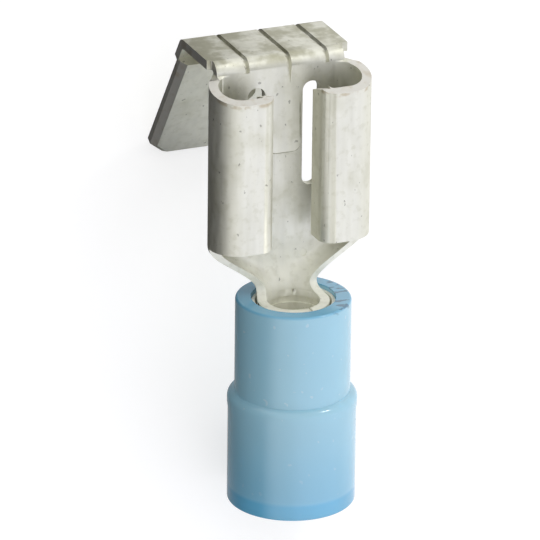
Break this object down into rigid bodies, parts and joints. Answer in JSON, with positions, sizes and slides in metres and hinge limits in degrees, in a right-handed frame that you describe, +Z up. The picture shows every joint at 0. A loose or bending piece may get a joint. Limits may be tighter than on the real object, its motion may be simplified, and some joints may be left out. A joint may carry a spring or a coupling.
{
  "type": "piggyback spade terminal",
  "caption": "Insulated crimp terminal with a female receptacle for a flat tab and a male tab folded back over its end.",
  "frame": {"origin": "on the floor that the terminal lies on, under the middle of its box", "axes": "+Z up from the floor; +Y along the floor from the sleeve to the receptacle's end; X across the tabs. The wire's axis rises towards the receptacle at 26.3 degrees to the floor, the receptacle's open side faces up, and the male tab's tip and the sleeve's foot edge touch the floor"},
  "size_m": [0.0072, 0.0208, 0.0111],
  "materials": {
    "tinned_brass": "bright tin plating over brass, lightly stained",
    "plated_sleeve": "tin-plated drawn tube",
    "blue_nylon": "smooth, slightly translucent nylon"
  },
  "bodies": {
    "root": {"terminal": "tinned_brass", "grip_sleeve": "plated_sleeve", "insulator": "blue_nylon"}
  },
  "joints": []
}
